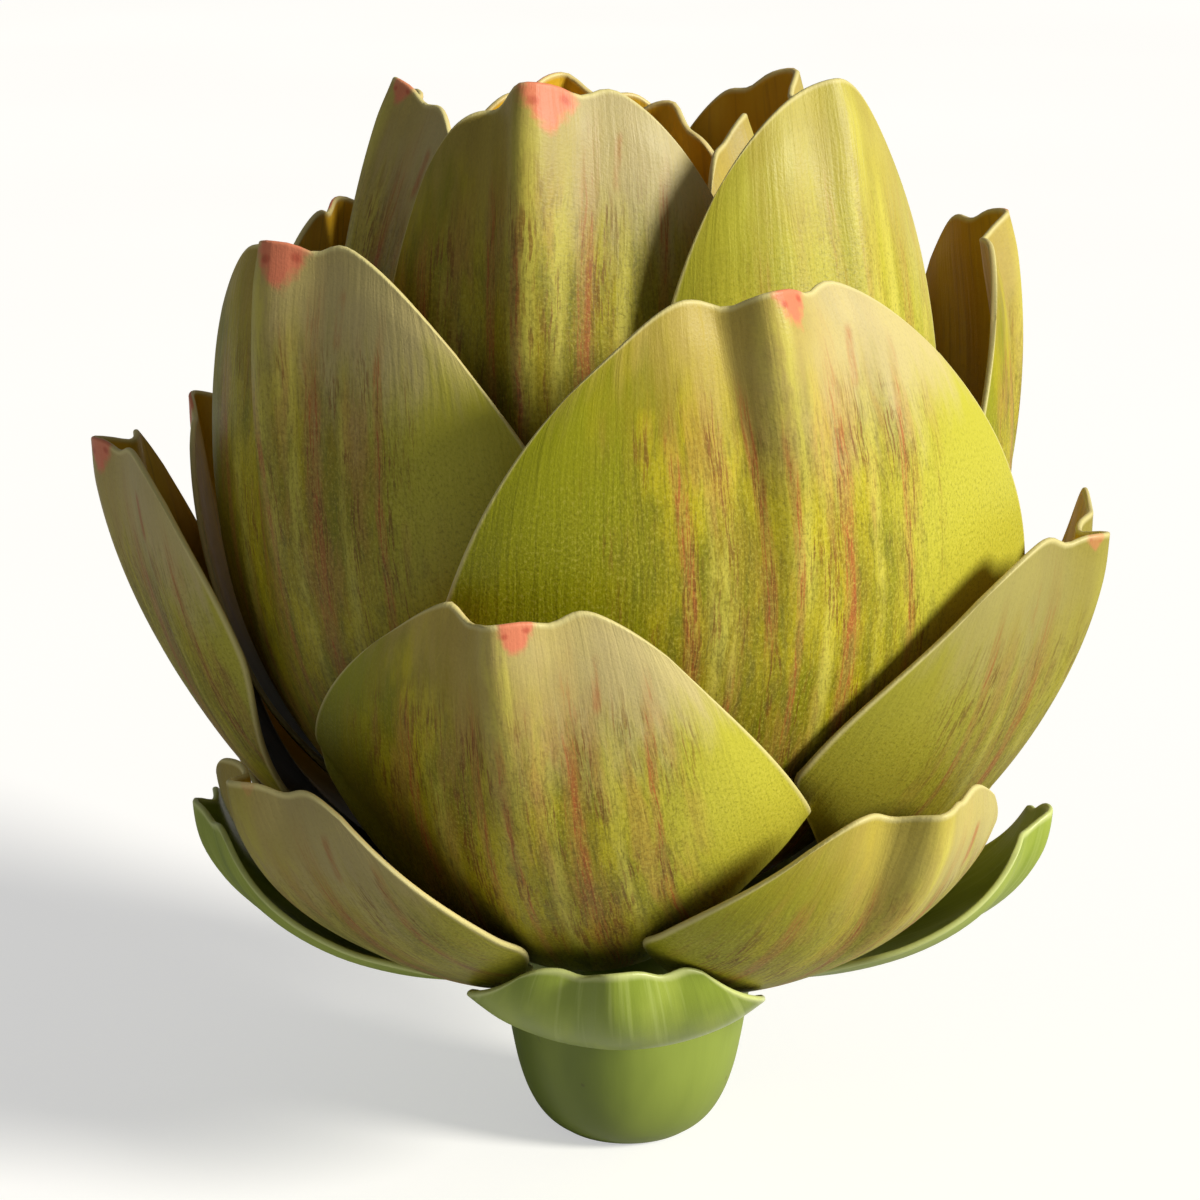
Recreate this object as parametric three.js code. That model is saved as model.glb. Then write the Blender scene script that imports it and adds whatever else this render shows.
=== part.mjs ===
// A globe artichoke head standing on its cut stem.
// Millimetres, +Z up. The origin is the centre of the flat cut foot, and -Y is the front of the head.
// The stem widens into the heart, and five-leaved whorls of bracts grow out of it, each whorl higher
// and closer to the axis than the one before. Every bract is its own thin closed solid.
import * as THREE from "three";

// Half profile of the stem and heart, as radius and height, from the foot's centre to the heart's top.
const STEM_PROFILE = [
  [0, 0],
  [6.2, 0],
  [8.2, 0.8],
  [9.8, 2.3],
  [11.1, 4.6],
  [12.1, 7.6],
  [12.8, 11],
  [13.3, 14],
  [13.7, 16.3],
  [14.8, 19],
  [16.7, 22],
  [18.2, 25.5],
  [18.4, 29.5],
  [17, 33.5],
  [14.2, 37.1],
  [10.4, 39.9],
  [6, 41.5],
  [0, 42.1],
];
const STEM_SIDES = 40;

// Flat outline of a bract, in shares of its length and of its half width.
const SIDE_END = 0.89; // where the side edges stop and the top edge starts
const BELLY_POWER = 2.1; // roundness of the outline above the widest place
const SHOULDER_POWER = 0.55;

// Near the tip the mid-rib is a ridge, steep on its left, above a valley, and gentle on its right.
const RIDGE_LEFT = 1.7;
const RIDGE_RIGHT = 4.2;
const VALLEY_AT = -4.2;
const VALLEY_WIDTH = 2.2;
const VALLEY_DEPTH = 0.3;
const RIB_START = 0.35; // the ridge fades out below this share of the length
const CLEAR_BY = 0.15; // twist and the outward shift are complete from this share of the length
const CREASE_AT = -1.5; // where a creased bract folds back on its left
const CREASE_ROUND = 1;

// The top edge waves: a lobe on each side, with a notch to the left and right of the ridge's end.
const LOBE_WIDTH = 5.5;
const RIGHT_LOBE_AT = 9.5;
const RIGHT_LOBE_SPREAD = 11.5; // its width on the side away from the ridge
const FAR_LOBE_AT = -17;
const LEFT_NOTCH_AT = -2.8;
const RIGHT_NOTCH_AT = 5.2;
const NOTCH_WIDTH = 1.6;

// Stations across and along a bract: closer together round the ridge and towards the tip.
const ACROSS = [-1, -0.8, -0.58, -0.36, -0.2, -0.09, 0, 0.14, 0.28, 0.46, 0.7, 0.88, 1];
const ALONG = [0, 0.13, 0.27, 0.42, 0.57, 0.71, 0.83, 0.93, 1];
const ACROSS_SMALL = [-1, -0.72, -0.4, -0.14, 0, 0.16, 0.34, 0.68, 1];
const ALONG_SMALL = [0, 0.2, 0.42, 0.64, 0.84, 1];

const GREEN = { color: 0xa3ad4e, roughness: 0.55, metalness: 0 };
const PALE_GREEN = { color: 0x94b052, roughness: 0.45, metalness: 0 };

// What a bract has unless its whorl or its own row says otherwise. Lengths are millimetres, angles degrees.
// root and tip are radius and height of the mid-rib's ends, and lean is from upright towards the outside.
// widest is the share of the length where the blade is widest, rootShare its half width at the root there,
// and a larger rootPower keeps it narrow for longer above the root. lopsided widens the right half and
// narrows the left one. curl is the radius that the blade bends to across, and leftFlatter multiplies it on
// the left. crease is the slope of the fold beside the ridge. twist turns the right edge outwards, out
// moves the whole blade away from the axis, and sway moves the tip sideways. hand -1 mirrors the form.
const PLAIN = {
  widest: 0.42,
  rootShare: 0.24,
  rootPower: 1.35,
  lopsided: 0,
  rootPull: 0.42,
  tipPull: 0.36,
  rootThick: 2,
  bladeThick: 1.15,
  curl: 34,
  curlRoot: 0.5,
  leftFlatter: 1,
  keel: 3,
  crease: 0,
  leftLobe: 1.2,
  leftLobeAt: -8,
  leftLobeSteep: 3,
  rightLobe: 2.2,
  farLobe: 0,
  notch: 0.9,
  twist: 0,
  out: 0,
  sway: 0,
  hand: 1,
};

const WHORLS = [
  {
    name: "collar_leaf",
    root: [15.6, 19],
    rootLean: 76,
    tipLean: 4,
    halfWidth: 17,
    curl: 38,
    keel: 1.6,
    material: PALE_GREEN,
    small: true,
    bracts: [
      { azimuth: -3, root: [14.5, 16.7], rootLean: 79, tip: [37.7, 32.8], halfWidth: 16.5, curl: 26 },
      { azimuth: 78, root: [15.9, 19.2], tip: [44.5, 40], rootLean: 76, halfWidth: 13, curl: 30 },
      { azimuth: 146, tip: [44, 38.5] },
      { azimuth: -142, tip: [44, 39.5] },
      { azimuth: -81, tip: [45.5, 40.5], rootLean: 78 },
    ],
  },
  {
    name: "low_bract",
    root: [18.4, 23.5],
    rootLean: 73,
    tipLean: 8,
    halfWidth: 20,
    curl: 30,
    material: GREEN,
    bracts: [
      { azimuth: 34.5, tip: [49, 51.3], out: 0.9, twist: -2, halfWidth: 21.5 },
      { azimuth: 118, tip: [46, 50], out: 0.9, halfWidth: 17.5 },
      { azimuth: 182, tip: [50, 51.5] },
      { azimuth: -115, tip: [46, 49], out: 0.5 },
      { azimuth: -47, tip: [49.5, 52.5], out: 1.2, twist: 4 },
    ],
  },
  {
    name: "outer_bract",
    root: [18.8, 28.1],
    rootLean: 68,
    tipLean: 4,
    halfWidth: 27,
    curl: 30,
    material: GREEN,
    bracts: [
      {
        azimuth: -14,
        root: [18.9, 26.5],
        rootLean: 73,
        tip: [51, 72.4],
        out: 0.6,
        twist: 1.5,
        halfWidth: 29.5,
        lopsided: 0.05,
        widest: 0.3,
        rootShare: 0.34,
        rootPower: 2.3,
        leftFlatter: 2.3,
        crease: 0.45,
        leftLobe: 1.4,
        leftLobeAt: -5.5,
        leftLobeSteep: 1.4,
        rightLobe: 2.8,
      },
      {
        azimuth: 66,
        tip: [50, 73.5],
        out: -0.2,
        hand: -1,
        farLobe: 8,
        halfWidth: 27.3,
        lopsided: -0.08,
        rootPower: 2.2,
        widest: 0.46,
      },
      { azimuth: 161, tip: [52, 76.5], out: 0.9, twist: 3, rootPower: 1.7 },
      { azimuth: -113, tip: [50.8, 79.5], out: -1, halfWidth: 17, rootLean: 64 },
      {
        azimuth: -87,
        tip: [53, 79.5],
        out: 0.6,
        twist: -3,
        halfWidth: 19,
        lopsided: 0.08,
        widest: 0.65,
        rootShare: 0.2,
        rootPower: 2.2,
        curl: 25,
        curlRoot: 1,
      },
    ],
  },
  {
    name: "middle_bract",
    root: [17.5, 33.3],
    rootLean: 56,
    tipLean: -10,
    halfWidth: 32,
    curl: 36,
    material: GREEN,
    bracts: [
      {
        azimuth: 24,
        tip: [42, 101],
        out: 0.5,
        sway: -6.5,
        halfWidth: 37.5,
        lopsided: 0.04,
        widest: 0.37,
        curl: 48,
      },
      {
        azimuth: 106,
        tip: [38.5, 100],
        rootLean: 58,
        tipLean: -15,
        out: 1.2,
        twist: 8,
        halfWidth: 24.5,
        curl: 27,
      },
      { azimuth: 169, tip: [40, 101.5], twist: 10, halfWidth: 29.5 },
      { azimuth: -128, tip: [39.5, 100.5], out: -2 },
      {
        azimuth: -56,
        tip: [39.5, 102.5],
        twist: -6,
        sway: -2,
        halfWidth: 30,
        lopsided: 0.2,
        widest: 0.48,
        curl: 36,
        rightLobe: 2.4,
        rootLean: 62,
      },
    ],
  },
  {
    name: "upper_bract",
    root: [13.6, 38.4],
    rootLean: 50,
    tipLean: -18,
    halfWidth: 27,
    curl: 28,
    material: GREEN,
    bracts: [
      {
        azimuth: -17,
        tip: [26.5, 118],
        out: -0.8,
        twist: -10,
        sway: -2.5,
        halfWidth: 24,
        lopsided: 0.3,
        widest: 0.52,
        curl: 24.5,
        keel: 4.2,
        rightLobe: 3,
      },
      {
        azimuth: 40,
        tip: [25, 117.5],
        out: 3.8,
        sway: 1.5,
        halfWidth: 20.5,
        lopsided: -0.25,
        curl: 24,
        rootPower: 1.8,
        keel: 0.8,
        leftLobe: 0,
        rightLobe: -2,
        notch: 0,
      },
      { azimuth: 136, tip: [23, 114.7], twist: 9, rightLobe: 0.5 },
      { azimuth: -163, tip: [23, 114.5], out: -2.4 },
      { azimuth: -84, tip: [21.5, 115.8], twist: -8, tipLean: -22 },
    ],
  },
  {
    name: "inner_bract",
    root: [8.8, 41.4],
    rootLean: 36,
    tipLean: -16,
    halfWidth: 15,
    curl: 15,
    keel: 1.4,
    material: GREEN,
    small: true,
    bracts: [
      { azimuth: 10, tip: [10.2, 107.5], out: 1.5, halfWidth: 14 },
      { azimuth: 84, tip: [10.5, 112.5], twist: 10 },
      { azimuth: 158, tip: [10.5, 112.5], twist: 10 },
      { azimuth: -128, tip: [10.5, 111.5], out: -0.8 },
      { azimuth: -56, tip: [10.5, 110.5], twist: -10 },
    ],
  },
  {
    name: "centre_bract",
    root: [3.6, 42.7],
    rootLean: 18,
    tipLean: -8,
    halfWidth: 7.5,
    curl: 8,
    keel: 0.8,
    material: GREEN,
    small: true,
    bracts: [
      { azimuth: 40, tip: [4.4, 106.5], twist: 12 },
      { azimuth: 160, tip: [4.4, 105.5], twist: 12 },
      { azimuth: -80, tip: [4.4, 105.5], twist: 12 },
    ],
  },
];

const radians = THREE.MathUtils.degToRad;
const smooth = THREE.MathUtils.smoothstep;
const bump = (x, at, width) => Math.exp(-(((x - at) / width) ** 2));

// Half width at a share v of the length, in shares of the widest half width.
function outline({ widest, rootShare, rootPower }, v) {
  if (v < widest) {
    const rise = Math.sin((Math.PI / 2) * (v / widest) ** rootPower);
    return rootShare + (1 - rootShare) * rise;
  }
  const above = (v - widest) / (1 - widest);
  return Math.max(0, 1 - above ** BELLY_POWER) ** SHOULDER_POWER;
}

// Share of the length that the outline reaches at a share w of the half width, above the widest place.
function crown({ widest }, w) {
  return widest + (1 - widest) * (1 - Math.abs(w) ** (1 / SHOULDER_POWER)) ** (1 / BELLY_POWER);
}

// The mid-rib: a cubic curve in radius and height, measured along its length.
function spineOf(bract) {
  const { root, tip } = bract;
  const reach = Math.hypot(tip[0] - root[0], tip[1] - root[1]);
  const rootWay = [Math.sin(radians(bract.rootLean)), Math.cos(radians(bract.rootLean))];
  const tipWay = [Math.sin(radians(bract.tipLean)), Math.cos(radians(bract.tipLean))];
  const curve = new THREE.CubicBezierCurve(
    new THREE.Vector2(...root),
    new THREE.Vector2(
      root[0] + rootWay[0] * reach * bract.rootPull,
      root[1] + rootWay[1] * reach * bract.rootPull,
    ),
    new THREE.Vector2(
      tip[0] - tipWay[0] * reach * bract.tipPull,
      tip[1] - tipWay[1] * reach * bract.tipPull,
    ),
    new THREE.Vector2(...tip),
  );
  curve.arcLengthDivisions = 60;
  const length = curve.getLength();
  const at = (v) => {
    const along = Math.min(v, 1);
    const place = curve.getPointAt(along);
    const way = curve.getTangentAt(along);
    return { place: place.addScaledVector(way, (v - along) * length), way };
  };
  return { length, at };
}

// A point of the blade's middle surface. s runs from root to tip, and t from the left edge to the right.
function bladePoint(bract, spine, s, t) {
  const sideShare = s * SIDE_END;
  const half = bract.halfWidth * (1 + bract.lopsided * Math.sign(t));
  const x = half * outline(bract, sideShare) * t;
  const form = x * bract.hand;
  const leftWidth = form < bract.leftLobeAt ? LOBE_WIDTH : bract.leftLobeSteep;
  const rightWidth = form < RIGHT_LOBE_AT ? LOBE_WIDTH : RIGHT_LOBE_SPREAD;
  const wave =
    bract.leftLobe * bump(form, bract.leftLobeAt, leftWidth) +
    bract.rightLobe * bump(form, RIGHT_LOBE_AT, rightWidth) +
    bract.farLobe * bump(form, FAR_LOBE_AT, LOBE_WIDTH) -
    bract.notch * bump(form, LEFT_NOTCH_AT, NOTCH_WIDTH) -
    bract.notch * bump(form, RIGHT_NOTCH_AT, NOTCH_WIDTH);
  const topShare = crown(bract, outline(bract, SIDE_END) * t);
  const v = sideShare + s ** 2 * (topShare - SIDE_END) + (s ** 5 * wave) / spine.length;

  const { place, way } = spine.at(v);
  const flatter = form < 0 ? bract.leftFlatter : 1;
  const radius = flatter * bract.curl * (bract.curlRoot + (1 - bract.curlRoot) * smooth(v, 0, 0.5));
  const bend = x / radius;
  const ridge = bump(form, 0, form < 0 ? RIDGE_LEFT : RIDGE_RIGHT);
  const valley = VALLEY_DEPTH * bump(form, VALLEY_AT, VALLEY_WIDTH);
  const rib = bract.keel * smooth(v, RIB_START, 1) ** 1.3 * (ridge - valley);
  const leftOfCrease = Math.max(0, CREASE_AT - form);
  const folded = bract.crease * smooth(v, 0, 0.4) * (Math.hypot(leftOfCrease, CREASE_ROUND) - CREASE_ROUND);
  const aside = radius * Math.sin(bend);
  const outward = rib - folded - radius * (1 - Math.cos(bend));

  const clear = smooth(v, 0, CLEAR_BY);
  const turn = radians(bract.twist) * clear;
  const across = aside * Math.cos(turn) - outward * Math.sin(turn);
  const off = aside * Math.sin(turn) + outward * Math.cos(turn) + bract.out * clear;
  const r = place.x + way.y * off;
  const z = place.y - way.x * off;
  const azimuth = radians(bract.azimuth);
  const side = across + bract.sway * v ** 2;
  return new THREE.Vector3(
    r * Math.sin(azimuth) + side * Math.cos(azimuth),
    -r * Math.cos(azimuth) + side * Math.sin(azimuth),
    z,
  );
}

// A closed thin solid: the middle surface moved half the thickness each way, with a rim round the edge.
function bladeGeometry(bract) {
  const spine = spineOf(bract);
  const across = bract.small ? ACROSS_SMALL : ACROSS;
  const along = bract.small ? ALONG_SMALL : ALONG;
  const columns = across.length;
  const step = 0.01;
  const outer = [];
  const inner = [];
  for (const s of along) {
    for (const t of across) {
      const low = Math.max(0, s - step);
      const high = Math.min(1, s + step);
      const left = Math.max(-1, t - step);
      const right = Math.min(1, t + step);
      const up = bladePoint(bract, spine, high, t).sub(bladePoint(bract, spine, low, t));
      const over = bladePoint(bract, spine, s, right).sub(bladePoint(bract, spine, s, left));
      const normal = over.cross(up).normalize();
      const thin = smooth(s, 0, 0.45);
      const half = (bract.rootThick * (1 - thin) + bract.bladeThick * thin) / 2;
      const middle = bladePoint(bract, spine, s, t);
      outer.push(middle.clone().addScaledVector(normal, half));
      inner.push(middle.clone().addScaledVector(normal, -half));
    }
  }
  const positions = [...outer, ...inner].flatMap((p) => p.toArray());
  const back = outer.length;
  const faces = [];
  for (let i = 0; i + 1 < along.length; i++) {
    for (let j = 0; j + 1 < columns; j++) {
      const a = i * columns + j;
      const b = a + 1;
      const c = a + columns;
      const d = c + 1;
      faces.push(a, b, d, a, d, c);
      faces.push(back + a, back + d, back + b, back + a, back + c, back + d);
    }
  }
  const rim = [];
  const rows = along.length;
  for (let j = 0; j < columns; j++) rim.push(j);
  for (let i = 1; i < rows; i++) rim.push(i * columns + columns - 1);
  for (let j = columns - 2; j >= 0; j--) rim.push((rows - 1) * columns + j);
  for (let i = rows - 2; i > 0; i--) rim.push(i * columns);
  rim.forEach((a, k) => {
    const b = rim[(k + 1) % rim.length];
    faces.push(a, back + a, b, b, back + a, back + b);
  });
  const geometry = new THREE.BufferGeometry();
  geometry.setAttribute("position", new THREE.Float32BufferAttribute(positions, 3));
  geometry.setIndex(faces);
  geometry.computeVertexNormals();
  return geometry;
}

function stemAndHeart() {
  const profile = STEM_PROFILE.map(([r, z]) => new THREE.Vector2(r, z));
  const geometry = new THREE.LatheGeometry(profile, STEM_SIDES).rotateX(Math.PI / 2);
  const mesh = new THREE.Mesh(geometry, new THREE.MeshStandardMaterial(PALE_GREEN));
  mesh.name = "stem_and_heart";
  return mesh;
}

function whorlMeshes({ name, bracts, material, ...common }) {
  const finish = new THREE.MeshStandardMaterial(material);
  return bracts.map((own, index) => {
    const mesh = new THREE.Mesh(bladeGeometry({ ...PLAIN, ...common, ...own }), finish);
    mesh.name = `${name}_${index + 1}`;
    return mesh;
  });
}

const artichoke = new THREE.Group();
artichoke.add(stemAndHeart());
for (const whorl of WHORLS) artichoke.add(...whorlMeshes(whorl));

export default artichoke;
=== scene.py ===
import math

import bpy
import numpy as np
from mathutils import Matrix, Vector


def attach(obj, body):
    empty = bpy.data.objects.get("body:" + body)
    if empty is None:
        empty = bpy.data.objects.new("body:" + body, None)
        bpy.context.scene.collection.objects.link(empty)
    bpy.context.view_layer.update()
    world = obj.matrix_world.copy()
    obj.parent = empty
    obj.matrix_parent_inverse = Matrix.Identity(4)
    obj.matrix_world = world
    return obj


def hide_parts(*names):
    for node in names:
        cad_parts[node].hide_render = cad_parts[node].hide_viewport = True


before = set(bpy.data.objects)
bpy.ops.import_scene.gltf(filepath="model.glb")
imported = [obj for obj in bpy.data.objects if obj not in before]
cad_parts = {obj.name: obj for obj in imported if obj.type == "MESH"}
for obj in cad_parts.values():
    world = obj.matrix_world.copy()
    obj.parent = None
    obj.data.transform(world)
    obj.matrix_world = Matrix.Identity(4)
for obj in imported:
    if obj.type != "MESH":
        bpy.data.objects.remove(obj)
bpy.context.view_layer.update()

MM = 0.001

# The photograph's viewpoint: in front, a little above the tips, looking 15 degrees down. The lens is in mm.
CAMERA_ELEVATION = math.radians(15)
CAMERA_DISTANCE = 0.36
CAMERA_TARGET = Vector((-0.003, 0.0, 0.0605))
LENS = 100

# Studio: a warm key light from the right, even light all round, and a wide floor shown nearly white.
# Azimuth 0 is the camera's side, positive to its right. Angles are in degrees.
KEY_LIGHT = dict(azimuth=64, elevation=25, strength=4.9, spread=16, colour=(1, 0.96, 0.88))
WORLD_BRIGHTNESS = 0.19
FLOOR_HALF_WIDTH = 6.0
FLOOR_LIFT = 0.5

# Stem and heart: radius and height of the half profile.
STEM_PROFILE = [
    (0.0, 0.0),
    (0.0062, 0.0),
    (0.0082, 0.0008),
    (0.0098, 0.0023),
    (0.0111, 0.0046),
    (0.0121, 0.0076),
    (0.0128, 0.011),
    (0.0133, 0.014),
    (0.0137, 0.0163),
    (0.0148, 0.019),
    (0.0167, 0.022),
    (0.0182, 0.0255),
    (0.0184, 0.0295),
    (0.017, 0.0335),
    (0.0142, 0.0371),
    (0.0104, 0.0399),
    (0.006, 0.0415),
    (0.0, 0.0421),
]
STEM_SIDES = 160

# Flat outline of a bract, in shares of its length and of its half width.
SIDE_END = 0.89  # where the side edges stop and the top edge starts
BELLY_POWER = 2.1  # roundness of the outline above the widest place
SHOULDER_POWER = 0.55

# The ridge near the tip is steep on its left, above a valley, and gentle on its right.
RIDGE_LEFT = 0.0017
RIDGE_RIGHT = 0.0042
VALLEY_AT = -0.0042
VALLEY_WIDTH = 0.0022
VALLEY_DEPTH = 0.3
RIB_START = 0.35  # the ridge fades out below this share of the length
CLEAR_BY = 0.15  # twist and the outward shift are complete from this share of the length
CREASE_AT = -0.0015  # where a creased bract folds back on its left
CREASE_ROUND = 0.001

# The top edge: a lobe to each side of the ridge's end, and a notch next to it.
LOBE_WIDTH = 0.0055
RIGHT_LOBE_AT = 0.0095
RIGHT_LOBE_SPREAD = 0.0115  # its width on the side away from the ridge
FAR_LOBE_AT = -0.017
LEFT_NOTCH_AT = -0.0028
RIGHT_NOTCH_AT = 0.0052
NOTCH_WIDTH = 0.0016

# A blade thins from its root up to THIN_BY of its length, and towards its rim over RIM_WIDTH. EDGE_THICK is
# the share of the thickness that is left at the rim, before the rim is rounded.
THIN_BY = 0.45
RIM_WIDTH = 0.005
EDGE_THICK = 0.55

# Grid of a blade, as rows along and columns across, with its stations drawn together at the rim.
FINE_GRID = (96, 80)
SMALL_GRID = (56, 48)
CROWDING = 0.94
NORMAL_STEP = 0.004  # how far apart the places are that give a blade's direction
SPINE_STEPS = 400
FIBRE_SPREAD = 0.35  # share by which the fibres draw together where the blade is narrow

# What a bract has unless its whorl or its own entry says otherwise. Angles are in degrees.
# root and tip are radius and height of the mid-rib's ends, and lean is from upright towards the outside.
# lopsided widens the right half and narrows the left one, and left_flatter makes the left one bend less.
# spot is the half width of the pink spot. marks, the painted shade, lime and film are shares: of the streaks
# and dashes, of a darker olive laid over the whole bract as painted shade, of a lime tone, and of the
# whitish film on a collar leaf.
PLAIN = dict(
    widest=0.42,
    root_share=0.24,
    root_power=1.35,
    lopsided=0.0,
    root_pull=0.42,
    tip_pull=0.36,
    root_thick=0.002,
    blade_thick=0.00115,
    curl=0.034,
    curl_root=0.5,
    left_flatter=1.0,
    keel=0.003,
    crease=0.0,
    left_lobe=0.0012,
    left_lobe_at=-0.008,
    left_lobe_steep=0.003,
    right_lobe=0.0022,
    far_lobe=0.0,
    notch=0.0009,
    twist=0.0,
    out=0.0,
    sway=0.0,
    hand=1,
    spot=0.002,
    marks=1.0,
    painted_shade=0.0,
    lime=0.0,
    film=0.0,
    grid=FINE_GRID,
)

WHORLS = [
    dict(
        name="collar_leaf",
        root=(0.0156, 0.019),
        root_lean=76,
        tip_lean=4,
        half_width=0.017,
        curl=0.038,
        keel=0.0016,
        finish="collar_leaf",
        grid=SMALL_GRID,
        bracts=[
            dict(
                azimuth=-3,
                root=(0.0145, 0.0167),
                root_lean=79,
                tip=(0.0377, 0.0328),
                half_width=0.0165,
                curl=0.026,
                film=1,
            ),
            dict(azimuth=78, root=(0.0159, 0.0192), tip=(0.0445, 0.04), half_width=0.013, curl=0.03),
            dict(azimuth=146, tip=(0.044, 0.0385)),
            dict(azimuth=-142, tip=(0.044, 0.0395)),
            dict(azimuth=-81, tip=(0.0455, 0.0405), root_lean=78),
        ],
    ),
    dict(
        name="low_bract",
        root=(0.0184, 0.0235),
        root_lean=73,
        tip_lean=8,
        half_width=0.02,
        curl=0.03,
        spot=0.0006,
        bracts=[
            dict(
                azimuth=34.5,
                tip=(0.049, 0.0513),
                out=0.0009,
                twist=-2,
                half_width=0.0215,
                spot=0,
                lime=0.55,
            ),
            dict(azimuth=118, tip=(0.046, 0.05), out=0.0009, half_width=0.0175),
            dict(azimuth=182, tip=(0.05, 0.0515)),
            dict(azimuth=-115, tip=(0.046, 0.049), out=0.0005),
            dict(azimuth=-47, tip=(0.0495, 0.0525), out=0.0012, twist=4, painted_shade=0.36),
        ],
    ),
    dict(
        name="outer_bract",
        root=(0.0188, 0.0281),
        root_lean=68,
        tip_lean=4,
        half_width=0.027,
        curl=0.03,
        bracts=[
            dict(
                azimuth=-14,
                root=(0.0189, 0.0265),
                root_lean=73,
                tip=(0.051, 0.0724),
                out=0.0006,
                twist=1.5,
                half_width=0.0295,
                lopsided=0.05,
                widest=0.3,
                root_share=0.34,
                root_power=2.3,
                left_flatter=2.3,
                crease=0.45,
                left_lobe=0.0014,
                left_lobe_at=-0.0055,
                left_lobe_steep=0.0014,
                right_lobe=0.0028,
                spot=0.0015,
            ),
            dict(
                azimuth=66,
                tip=(0.05, 0.0735),
                out=-0.0002,
                hand=-1,
                far_lobe=0.008,
                half_width=0.0273,
                lopsided=-0.08,
                root_power=2.2,
                widest=0.46,
                spot=0.0009,
                painted_shade=0.42,
                lime=0.75,
            ),
            dict(azimuth=161, tip=(0.052, 0.0765), out=0.0009, twist=3, root_power=1.7),
            dict(azimuth=-113, tip=(0.0508, 0.0795), out=-0.001, half_width=0.017, root_lean=64),
            dict(
                azimuth=-87,
                tip=(0.053, 0.0795),
                out=0.0006,
                twist=-3,
                half_width=0.019,
                lopsided=0.08,
                widest=0.65,
                root_share=0.2,
                root_power=2.2,
                curl=0.025,
                curl_root=1,
                spot=0.0018,
                painted_shade=0.14,
            ),
        ],
    ),
    dict(
        name="middle_bract",
        root=(0.0175, 0.0333),
        root_lean=56,
        tip_lean=-10,
        half_width=0.032,
        curl=0.036,
        bracts=[
            dict(
                azimuth=24,
                tip=(0.042, 0.101),
                out=0.0005,
                sway=-0.0065,
                half_width=0.0375,
                lopsided=0.04,
                widest=0.37,
                curl=0.048,
                spot=0.0018,
            ),
            dict(
                azimuth=106,
                tip=(0.0385, 0.1),
                root_lean=58,
                tip_lean=-15,
                out=0.0012,
                twist=8,
                half_width=0.0245,
                curl=0.027,
            ),
            dict(azimuth=169, tip=(0.04, 0.1015), twist=10, half_width=0.0295),
            dict(azimuth=-128, tip=(0.0395, 0.1005), out=-0.002),
            dict(
                azimuth=-56,
                tip=(0.0395, 0.1025),
                twist=-6,
                sway=-0.002,
                half_width=0.03,
                lopsided=0.2,
                widest=0.48,
                right_lobe=0.0024,
                root_lean=62,
                spot=0.0024,
                painted_shade=0.12,
            ),
        ],
    ),
    dict(
        name="upper_bract",
        root=(0.0136, 0.0384),
        root_lean=50,
        tip_lean=-18,
        half_width=0.027,
        curl=0.028,
        bracts=[
            dict(
                azimuth=-17,
                tip=(0.0265, 0.118),
                out=-0.0008,
                twist=-10,
                sway=-0.0025,
                half_width=0.024,
                lopsided=0.3,
                widest=0.52,
                curl=0.0245,
                keel=0.0042,
                right_lobe=0.003,
                spot=0.0024,
                painted_shade=0.25,
            ),
            dict(
                azimuth=40,
                tip=(0.025, 0.1175),
                out=0.0038,
                sway=0.0015,
                half_width=0.0205,
                lopsided=-0.25,
                curl=0.024,
                root_power=1.8,
                keel=0.0008,
                left_lobe=0.0,
                right_lobe=-0.002,
                notch=0.0,
                spot=0,
                marks=0.3,
                painted_shade=0.05,
                lime=0.95,
            ),
            dict(azimuth=136, tip=(0.023, 0.1147), twist=9, right_lobe=0.0005),
            dict(azimuth=-163, tip=(0.023, 0.1145), out=-0.0024),
            dict(azimuth=-84, tip=(0.0215, 0.1158), twist=-8, tip_lean=-22, spot=0.0013, painted_shade=0.15),
        ],
    ),
    dict(
        name="inner_bract",
        root=(0.0088, 0.0414),
        root_lean=36,
        tip_lean=-16,
        half_width=0.015,
        curl=0.015,
        keel=0.0014,
        spot=0,
        marks=0.5,
        grid=SMALL_GRID,
        bracts=[
            dict(azimuth=10, tip=(0.0102, 0.1075), out=0.0015, half_width=0.014),
            dict(azimuth=84, tip=(0.0105, 0.1125), twist=10),
            dict(azimuth=158, tip=(0.0105, 0.1125), twist=10),
            dict(azimuth=-128, tip=(0.0105, 0.1115), out=-0.0008),
            dict(azimuth=-56, tip=(0.0105, 0.1105), twist=-10),
        ],
    ),
    dict(
        name="centre_bract",
        root=(0.0036, 0.0427),
        root_lean=18,
        tip_lean=-8,
        half_width=0.0075,
        curl=0.008,
        keel=0.0008,
        spot=0,
        marks=0.5,
        grid=SMALL_GRID,
        bracts=[
            dict(azimuth=40, tip=(0.0044, 0.1065), twist=12),
            dict(azimuth=160, tip=(0.0044, 0.1055), twist=12),
            dict(azimuth=-80, tip=(0.0044, 0.1055), twist=12),
        ],
    ),
]


# Blades

def smooth(x, low, high):
    share = np.clip((x - low) / (high - low), 0, 1)
    return share * share * (3 - 2 * share)


def bump(x, at, width):
    return np.exp(-(((x - at) / width) ** 2))


def outline(leaf, v):
    """Half width at a share v of the length, in shares of the widest half width."""
    widest, root_share = leaf["widest"], leaf["root_share"]
    rise = np.sin(math.pi / 2 * np.clip(v / widest, 0, 1) ** leaf["root_power"])
    above = np.clip((v - widest) / (1 - widest), 0, 1)
    shoulder = (1 - above**BELLY_POWER) ** SHOULDER_POWER
    return np.where(v < widest, root_share + (1 - root_share) * rise, shoulder)


def crown(leaf, w):
    """Share of the length that the outline reaches at a share w of the half width."""
    widest = leaf["widest"]
    return widest + (1 - widest) * (1 - np.abs(w) ** (1 / SHOULDER_POWER)) ** (1 / BELLY_POWER)


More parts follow.
